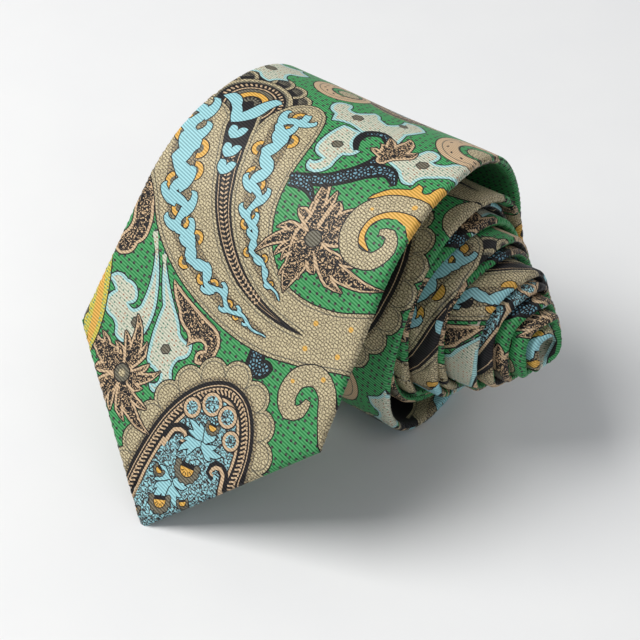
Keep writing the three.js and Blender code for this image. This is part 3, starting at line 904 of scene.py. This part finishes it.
def silk_panel(name, start, end, shapes, grid, materials):
    """One printed panel, folded flat: a front and a back that meet in rounded folds."""
    front, faces, front_inks = flat_mesh(start, end, shapes, FRONT_LEAST, FRONT_DEEP, grid,
                                         strip_outline(start, end, 1.3))
    back, back_faces, back_inks = flat_mesh(start, end, shapes, BACK_LEAST, BACK_DEEP, grid * 1.5,
                                            rim_of(front, faces), True)
    outer = place(front[:, 0], front[:, 1], puffed(front[:, 0], front[:, 1], start, end))
    inner = place(back[:, 0], back[:, 1], back_depth(back[:, 0], back[:, 1], start, end))
    mm = np.vstack([front, back])
    fold = smooth(1 - edge_distance(mm[:, 0], mm[:, 1], start, end) / 1.3)
    mm[:, 0] += np.sign(mm[:, 0]) * fold * 0.75     # so that the pattern isn't stretched over the folds
    obj = make_object(name, np.vstack([outer, inner]), np.vstack([faces, back_faces[:, ::-1] + len(outer)]),
                      mm, np.concatenate([front_inks, back_inks]))
    for ink in INKS:
        obj.data.materials.append(materials[ink])
    welded = bmesh.new()
    welded.from_mesh(obj.data)
    for reach in (4e-6, 5e-4):          # the shared rim, then the points that the triangulation added to it
        bmesh.ops.remove_doubles(welded, verts=[v for v in welded.verts if v.is_boundary], dist=reach)
    welded.to_mesh(obj.data)
    welded.free()
    return obj


def slab(name, start, end, half, top, bottom, material, step=1.5, aside=0.0, across=9):
    """A thin closed layer along the strip. half gives its half width, and top and bottom its two depths."""
    rows = np.linspace(start, end, max(2, round((end - start) / step)) + 1)
    s = np.repeat(rows[:, None], across, 1)
    v = np.array([max(half(r), 0.1) for r in rows])[:, None] * np.linspace(-1, 1, across)[None] + aside
    ring = np.concatenate([place(v, s, top(v, s)), place(v[:, ::-1], s, bottom(v[:, ::-1], s))], 1)
    mm = np.concatenate([np.stack([v, s], -1), np.stack([v[:, ::-1], s], -1)], 1)
    n = 2 * across
    faces = [(i * n + j, i * n + (j + 1) % n, (i + 1) * n + (j + 1) % n, (i + 1) * n + j)
             for i in range(len(rows) - 1) for j in range(n)]
    last = (len(rows) - 1) * n
    faces += [(i, n - 1 - i, n - 2 - i, i + 1) for i in range(across - 1)]
    faces += [(last + i + 1, last + n - 2 - i, last + n - 1 - i, last + i) for i in range(across - 1)]
    obj = make_object(name, ring.reshape(-1, 3), faces, mm.reshape(-1, 2))
    obj.data.materials.append(material)
    finish_edges(obj)
    return obj


def finish_edges(obj):
    """Rounds the shading over gentle corners only."""
    bpy.ops.object.select_all(action="DESELECT")
    obj.select_set(True)
    bpy.context.view_layer.objects.active = obj
    bpy.ops.object.shade_smooth_by_angle(angle=math.radians(50))


def threads(name, runs, radius, material, sides=6):
    """Sewing thread: each run is a list of (across, along, depth) points, made as a round closed tube."""
    points, faces, mm = [], [], []
    for run in runs:
        flat = np.array(run, float)
        line = place(flat[:, 0], flat[:, 1], flat[:, 2])
        along = np.gradient(line, axis=0)
        along /= np.linalg.norm(along, axis=1)[:, None] + 1e-12
        side = np.cross(along, [0.31, 0.52, 0.79])
        side /= np.linalg.norm(side, axis=1)[:, None]
        up = np.cross(along, side)
        base = len(points)
        for i, p in enumerate(line):
            thick = radius * MM * (0.35 if i in (0, len(line) - 1) else 1.0)
            for k in range(sides):
                a = 2 * math.pi * k / sides
                points.append(p + (side[i] * math.cos(a) + up[i] * math.sin(a)) * thick)
                mm.append(flat[i, :2])
        for i in range(len(line) - 1):
            for k in range(sides):
                a, b = base + i * sides + k, base + i * sides + (k + 1) % sides
                faces.append((a, b, b + sides, a + sides))
        faces.append(tuple(base + k for k in reversed(range(sides))))
        faces.append(tuple(base + (len(line) - 1) * sides + k for k in range(sides)))
    obj = make_object(name, points, faces, mm)
    obj.data.materials.append(material)
    return obj


# ---- Materials of the small pieces -----------------------------------------------------------------------
def wool_interlining():
    """Brushed wool interlining: a matt, hairy, open plain weave of about 1 mm, off-white."""
    material, tree, shader = new_material("Brushed_wool_interlining", Roughness=0.95, IOR=1.54, Sheen_Weight=0.4)
    mm = cloth_mm(tree)
    weave = add(tree, "ShaderNodeTexChecker", [("Vector", mm)], inputs={"Scale": 1.0}).outputs["Fac"]
    hair = add(tree, "ShaderNodeTexNoise", [("Vector", mm)], inputs={"Scale": 1.7, "Detail": 6.0}).outputs[0]
    height = maths(tree, "ADD", maths(tree, "MULTIPLY", weave, 0.3), hair)
    dress(tree, shader, mixed(tree, hair, linear("b8b2a2"), linear("e2ddd0")), height, 0.6, 0.0003)
    return material


def woven(name, warp, weft, pitch, rough, sheen):
    """A plain woven cloth with its own two thread colours; pitch is its thread spacing in millimetres."""
    material, tree, shader = new_material(name, Roughness=rough, IOR=1.5, Sheen_Weight=sheen, Sheen_Roughness=0.4)
    split = add(tree, "ShaderNodeSeparateXYZ", [(0, cloth_mm(tree))]).outputs
    across = maths(tree, "SINE", maths(tree, "MULTIPLY", split[0], 2 * math.pi / pitch))
    along = maths(tree, "SINE", maths(tree, "MULTIPLY", split[1], 2 * math.pi / pitch))
    over = maths(tree, "ADD", maths(tree, "MULTIPLY", maths(tree, "MULTIPLY", across, along), 0.5), 0.5)
    height = maths(tree, "ADD", maths(tree, "ABSOLUTE", across), maths(tree, "ABSOLUTE", along))
    dress(tree, shader, mixed(tree, over, linear(warp), linear(weft)), height, 0.3, 0.00008)
    return material


def sewing_thread(name, dark, light):
    """Twisted polyester sewing thread: fine slanting plies about 0.4 mm long, with a low gloss. Its colour carries a
    painted shade in the grooves between the plies and a painted highlight on them, following the bump.
    """
    material, tree, shader = new_material(name, Roughness=0.55, IOR=1.58, Sheen_Weight=0.15)
    twist = add(tree, "ShaderNodeTexWave", [("Vector", cloth_mm(tree))], bands_direction="DIAGONAL",
                inputs={"Scale": 0.8, "Distortion": 0.4}).outputs["Fac"]
    # Painted shade and highlight: the dark colour in the twist's grooves, the light one on its plies.
    dress(tree, shader, mixed(tree, twist, linear(dark), linear(light)), twist, 0.4, 0.0001)
    return material


def pale_floor():
    """Smooth painted studio board: matt off-white with a very faint unevenness."""
    material, tree, shader = new_material("Painted_studio_board", Roughness=0.7, IOR=1.5)
    where = add(tree, "ShaderNodeTexCoord").outputs["Object"]
    noise = add(tree, "ShaderNodeTexNoise", [("Vector", where)], inputs={"Scale": 30.0, "Detail": 4.0}).outputs[0]
    tree.links.new(mixed(tree, noise, linear("e6e7e9"), linear("eceded")), shader.inputs["Base Color"])
    return material


# ---- Settings --------------------------------------------------------------------------------------------
DEFAULT_INKS = {"green": "06a04c", "black": "0d0a12", "beige": "dccca0", "umber": "b09c72", "peach": "e2c096",
                "aqua": "b0e6e6", "speckle": "dcdfc8", "sky": "9fe0ea", "gold": "f5b93c", "olive": "6d6650",
                "feather": "7fb4c8", "yellow": "dccf3e"}


class NecktieColours(bpy.types.PropertyGroup):
    """The print's ink colours."""
    __annotations__ = {ink: bpy.props.FloatVectorProperty(
        name=ink.capitalize(), description=f"Colour of the {ink} ink", default=linear(code), size=4, min=0, max=1,
        subtype="COLOR") for ink, code in DEFAULT_INKS.items()}


class NecktieSizes(bpy.types.PropertyGroup):
    """Sizes a user may change."""
    outer_grid: bpy.props.FloatProperty(name="Outer mesh", description="Mesh spacing on the outer turns",
                                        default=0.0030, min=0.001, unit="LENGTH", precision=4)
    inner_grid: bpy.props.FloatProperty(name="Inner mesh", description="Mesh spacing on the inner turns",
                                        default=0.0017, min=0.001, unit="LENGTH", precision=4)
    thread_radius: bpy.props.FloatProperty(name="Thread radius", description="Radius of the sewing thread",
                                           default=0.00028, min=0.0001, unit="LENGTH", precision=5)
    floor_size: bpy.props.FloatProperty(name="Floor size", description="Width of the studio floor", default=6.0,
                                        min=1.0, unit="LENGTH")
    lens: bpy.props.FloatProperty(name="Lens", description="Focal length of the camera on a 36 mm sensor",
                                  default=112.9, min=20, max=300)


def settings():
    return bpy.context.scene.necktie_sizes, bpy.context.scene.necktie_colours


def silk_inks():
    """The silk materials by ink, made once."""
    colours = {ink: tuple(getattr(settings()[1], ink)) for ink in DEFAULT_INKS}
    return {ink: bpy.data.materials.get("Silk_twill_" + ink) or printed_silk(ink, colours) for ink in INKS}


def fit(piece, slot, *nodes, bends=False):
    """Bakes a piece's place into its mesh where bends is set, or else hangs it on the roll's empty so that it rides the
    roll, and hides the CAD parts it stands in for. slot is not used.
    """
    if bends:
        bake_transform(piece)
    else:
        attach(piece, "roll")
    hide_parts(*nodes)


def thread_material():
    return bpy.data.materials.get("Polyester_thread_navy") or sewing_thread("Polyester_thread_navy", "14202b", "2c3d4c")


def proud_of_back(rise):
    """A face that lies this far outside the tube's back."""
    return lambda v, s: back_depth(v, s) + rise


def on_back(v, s, rise):
    """The depth of one place, this far outside the tube's back."""
    return float(back_depth(v, s)) + rise


class NECKTIE_OT_silk(bpy.types.Operator):
    """Makes the printed silk tube in its three panels: the blade, the neck and the tail"""
    bl_idname = "necktie.silk"
    bl_label = "Silk panels"

    def execute(self, context):
        sizes = settings()[0]
        shapes, cloth = drawing(), silk_inks()
        outer, inner = sizes.outer_grid / MM, sizes.inner_grid / MM
        for name, start, end, grid, nodes in (
                ("silk_blade_panel", 0.0, BLADE_END, outer, ("blade_silk_end", "blade_silk_roll")),
                ("silk_neck_panel", BLADE_END, NECK_END, inner * 1.15, ("neck_silk",)),
                ("silk_tail_panel", NECK_END, LENGTH, inner, ("tail_silk",))):
            fit(silk_panel(name, start, end, shapes, grid, cloth), "printed_silk", *nodes, bends=len(nodes) == 2)
        return {"FINISHED"}


class NECKTIE_OT_interlining(bpy.types.Operator):
    """Makes the wool interlining inside the silk, along the whole tie"""
    bl_idname = "necktie.interlining"
    bl_label = "Wool interlining"

    def execute(self, context):
        def half(s):
            return float(edge_distance(0.0, s)) - 1.3 if s > CORNER else s - 1.8

        piece = slab("wool_interlining_strip", 3, 1407, half, lambda v, s: 0.62 + 0 * v, lambda v, s: 1.55 + 0 * v,
                     wool_interlining(), step=2.0)
        fit(piece, "interlining_wool", "interlining_end", "interlining_roll", bends=True)
        return {"FINISHED"}


class NECKTIE_OT_linings(bpy.types.Operator):
    """Makes the linings that close the two openings in the silk's back"""
    bl_idname = "necktie.linings"
    bl_label = "Linings"

    def execute(self, context):
        cloth = woven("Acetate_lining_green", "17563a", "1f6e49", 0.32, 0.38, 0.1)
        for name, start, end, node, flat, area in (
                ("blade_tip_lining", 12, 97, "blade_lining", (0.060, 0.085), 0.0026),
                ("tail_tip_lining", 1352, 1398.5, "tail_lining", (0.018, 0.0465), 0.00044)):
            piece = slab(name, start, end, lambda s: float(opening(s)) - 0.2,
                         lambda v, s: THICK - 0.62 + 0 * v - puffed(v, s) * 0.9, proud_of_back(0.10), cloth, across=25)
            fit(piece, "lining", node, bends=node == "blade_lining")
        return {"FINISHED"}


class NECKTIE_OT_stitching(bpy.types.Operator):
    """Sews the tie: the bar tacks, the slip stitches of the centre seam and the spare loop of thread"""
    bl_idname = "necktie.stitching"
    bl_label = "Stitching"

    def execute(self, context):
        r = settings()[0].thread_radius / MM
        yarn = thread_material()
        for name, middle, wide, node in (("satin_tack_blade", 95.4, 3.2, "blade_bar_tack"),
                                         ("satin_tack_tail", 1346.4, 2.4, "tail_bar_tack")):
            runs = [[(v + lean * 0.2, middle + t, on_back(v, middle, 0.22 - 0.30 * abs(t)))
                     for lean, t in ((-1, -1), (-0.5, -0.6), (0, 0), (0.5, 0.6), (1, 1))]
                    for v in np.arange(-wide, wide + 0.01, 0.46)]
            fit(threads(name, runs, r, yarn), "thread", node, bends=node == "blade_bar_tack")
        ring = [(3.5 * math.cos(a) * (1 + 0.06 * math.sin(3 * a)), 76.5 + 3.5 * math.sin(a),
                 on_back(0, 76.5, 0.33 + 0.05 * math.sin(2 * a))) for a in np.linspace(0.35, 2 * math.pi + 0.1, 40)]
        stem = [(v, s, on_back(0, s, rise)) for v, s, rise in
                ((0.5, 80.0, 0.33), (0.3, 84, 0.3), (0.0, 90, 0.3), (0.0, 95, 0.3))]
        fit(threads("spare_thread_ring", [ring, stem], r, yarn, 8), "thread", "spare_thread_loop", bends=True)
        runs = [[(0.4 - 0.1 * t, s + t * 2.1, on_back(0.4, s + t * 2.1, 0.18 - 0.3 * abs(2 * t - 1) ** 2))
                 for t in (0, 0.2, 0.5, 0.8, 1)] for s in np.arange(100.5, 1343, 6.2)]
        fit(threads("slip_stitch_seam", runs, r * 0.85, yarn, 5), "thread", "seam_thread", bends=True)
        return {"FINISHED"}


class NECKTIE_OT_keeper(bpy.types.Operator):
    """Makes the keeper loop of printed silk across the blade's back, and the tacks at its two ends"""
    bl_idname = "necktie.keeper"
    bl_label = "Keeper loop"

    def execute(self, context):
        def arch(v, s):
            return 0.28 + 1.9 * smooth((19.5 - np.abs(v)) / 5.0)

        def roll_off(s):
            return 0.24 * smooth(np.abs(s - 151) - 5.0)

        piece = slab("silk_keeper_band", 145, 157, lambda s: 24.0,
                     lambda v, s: back_depth(v, s) + arch(v, s) - 0.24 + roll_off(s),
                     lambda v, s: back_depth(v, s) + arch(v, s) + 0.36 - roll_off(s),
                     silk_inks()["beige"], step=1.0, across=49)
        fit(piece, "printed_silk", "keeper_loop")
        yarn, r = thread_material(), settings()[0].thread_radius / MM
        for name, v0, node in (("keeper_stitches_left", -22, "keeper_tack_left"),
                               ("keeper_stitches_right", 22, "keeper_tack_right")):
            runs = [[(v0 - 0.9 + 1.8 * t, s, on_back(v0, s, 0.95 - 0.35 * abs(2 * t - 1)))
                     for t in (0, 0.25, 0.5, 0.75, 1)] for s in np.arange(146, 156.2, 0.62)]
            fit(threads(name, runs, r, yarn, 5), "thread", node)
        return {"FINISHED"}


class NECKTIE_OT_labels(bpy.types.Operator):
    """Makes the blank label and the small blank fibre tag on the blade's back"""
    bl_idname = "necktie.labels"
    bl_label = "Blank label and tag"

    def execute(self, context):
        satin = woven("Rayon_satin_label_black", "16161b", "26262e", 0.28, 0.42, 0.1)
        tape = woven("Polyester_tape_white", "dfdfda", "f2f2ee", 0.30, 0.6, 0.05)
        for name, middle, length, half, aside, cloth, node, slot in (
                ("blank_satin_label", 181, 20, 22, 0, satin, "blank_label", "label_cloth"),
                ("blank_tape_tag", 214, 14, 9, 6, tape, "fibre_tag", "tag_cloth")):
            piece = slab(name, middle - length / 2, middle + length / 2, lambda s: half,
                         proud_of_back(0.06), proud_of_back(0.40), cloth, step=1.0, aside=aside, across=31)
            fit(piece, slot, node)
        return {"FINISHED"}


class NECKTIE_OT_cloth(bpy.types.Operator):
    """Raises an error if a piece sewn to the blade panel is missing, and otherwise only looks up each silk panel"""
    bl_idname = "necktie.cloth"
    bl_label = "Cut sizes of the silk"

    def execute(self, context):
        get = bpy.data.objects.get
        on_blade = [get(n) for n in ("satin_tack_blade", "spare_thread_ring", "slip_stitch_seam", "silk_keeper_band",
                                     "keeper_stitches_left", "keeper_stitches_right", "blank_satin_label",
                                     "blank_tape_tag")]
        if None in on_blade:
            raise RuntimeError("The sewn pieces are made before the silk's sizes are declared.")
        for name, start, end, extra in (("silk_blade_panel", 0, BLADE_END, on_blade),
                                        ("silk_neck_panel", BLADE_END, NECK_END, []),
                                        ("silk_tail_panel", NECK_END, LENGTH, [get("satin_tack_tail")])):
            get(name)
        return {"FINISHED"}


# The camera's own axes, the point it is set by, its distance from that, and its turn up and to the right.
CAMERA_RIGHT, CAMERA_UP = Vector((0.7778, 0.6285, 0)), Vector((-0.4095, 0.5068, 0.7587))
CAMERA_BACK = Vector((0.4768, -0.5901, 0.6516))
CAMERA_AIM, CAMERA_REACH = Vector((-0.02105, 0.019446, -0.00075)), 0.5654
CAMERA_PITCH, CAMERA_YAW = math.radians(0.985), math.radians(0.271)
LIGHT_AIM = Vector((0, 0, 0.03))
# Soft lights, each with its place, power, size and colour: the main one, one at the right, one from behind.
LIGHTS = (((-0.42, -0.30, 0.72), 8.2, 0.60, (1.0, 0.985, 0.96)),
          ((0.65, -0.25, 0.55), 1.6, 0.8, (0.96, 0.98, 1.0)),
          ((0.05, 0.75, 0.60), 1.9, 0.7, (1.0, 1.0, 1.0)))
ROOM_COLOUR, ROOM_LIGHT = (0.92, 0.94, 1.0, 1.0), 0.17


class NECKTIE_OT_stage(bpy.types.Operator):
    """Lays the pale floor, sets the soft lights and the camera"""
    bl_idname = "necktie.stage"
    bl_label = "Stage"

    def execute(self, context):
        sizes = settings()[0]
        bpy.ops.object.select_all(action="DESELECT")
        bpy.ops.mesh.primitive_plane_add(size=sizes.floor_size, location=(0, 0, 0))
        floor = bpy.context.object
        floor.name = "studio_floor"
        floor.data.materials.append(pale_floor())
        look = -CAMERA_BACK + CAMERA_UP * math.tan(CAMERA_PITCH) + CAMERA_RIGHT * math.tan(CAMERA_YAW)
        bpy.ops.object.camera_add(location=CAMERA_AIM + CAMERA_BACK * CAMERA_REACH)
        camera = bpy.context.object
        camera.rotation_euler = look.normalized().to_track_quat("-Z", "Y").to_euler()
        camera.data.lens = sizes.lens
        camera.data.sensor_width = 36.0
        camera.data.clip_start, camera.data.clip_end = 0.01, 20.0
        context.scene.camera = camera
        for seat, power, size, colour in LIGHTS:
            bpy.ops.object.light_add(type="AREA", location=seat)
            lamp = bpy.context.object
            lamp.data.energy, lamp.data.size, lamp.data.color = power, size, colour
            lamp.rotation_euler = (LIGHT_AIM - Vector(seat)).to_track_quat("-Z", "Y").to_euler()
        world = bpy.data.worlds.new("soft_room")
        world.use_nodes = True
        background = world.node_tree.nodes["Background"].inputs
        background[0].default_value, background[1].default_value = ROOM_COLOUR, ROOM_LIGHT
        context.scene.world = world
        context.scene.view_settings.view_transform = "Standard"     # so that the inks keep their own colours
        return {"FINISHED"}


MAKERS = (NECKTIE_OT_stage, NECKTIE_OT_silk, NECKTIE_OT_interlining, NECKTIE_OT_linings, NECKTIE_OT_stitching,
          NECKTIE_OT_keeper, NECKTIE_OT_labels, NECKTIE_OT_cloth)


class NECKTIE_PT_panel(bpy.types.Panel):
    """Lists the necktie's makers and settings"""
    bl_idname = "NECKTIE_PT_panel"
    bl_label = "Necktie"
    bl_space_type = "VIEW_3D"
    bl_region_type = "UI"
    bl_category = "Necktie"

    def draw(self, context):
        for maker in MAKERS:
            self.layout.operator(maker.bl_idname)
        for group in (context.scene.necktie_sizes, context.scene.necktie_colours):
            for key in group.__annotations__:
                self.layout.prop(group, key)


CLASSES = (NecktieColours, NecktieSizes, *MAKERS, NECKTIE_PT_panel)


def register():
    for cls in CLASSES:
        bpy.utils.register_class(cls)
    bpy.types.Scene.necktie_colours = bpy.props.PointerProperty(type=NecktieColours)
    bpy.types.Scene.necktie_sizes = bpy.props.PointerProperty(type=NecktieSizes)


def unregister():
    del bpy.types.Scene.necktie_sizes
    del bpy.types.Scene.necktie_colours
    for cls in reversed(CLASSES):
        bpy.utils.unregister_class(cls)


def main():
    register()
    for maker in MAKERS:
        group, name = maker.bl_idname.split(".")
        getattr(getattr(bpy.ops, group), name)()


if __name__ == "__main__":
    main()
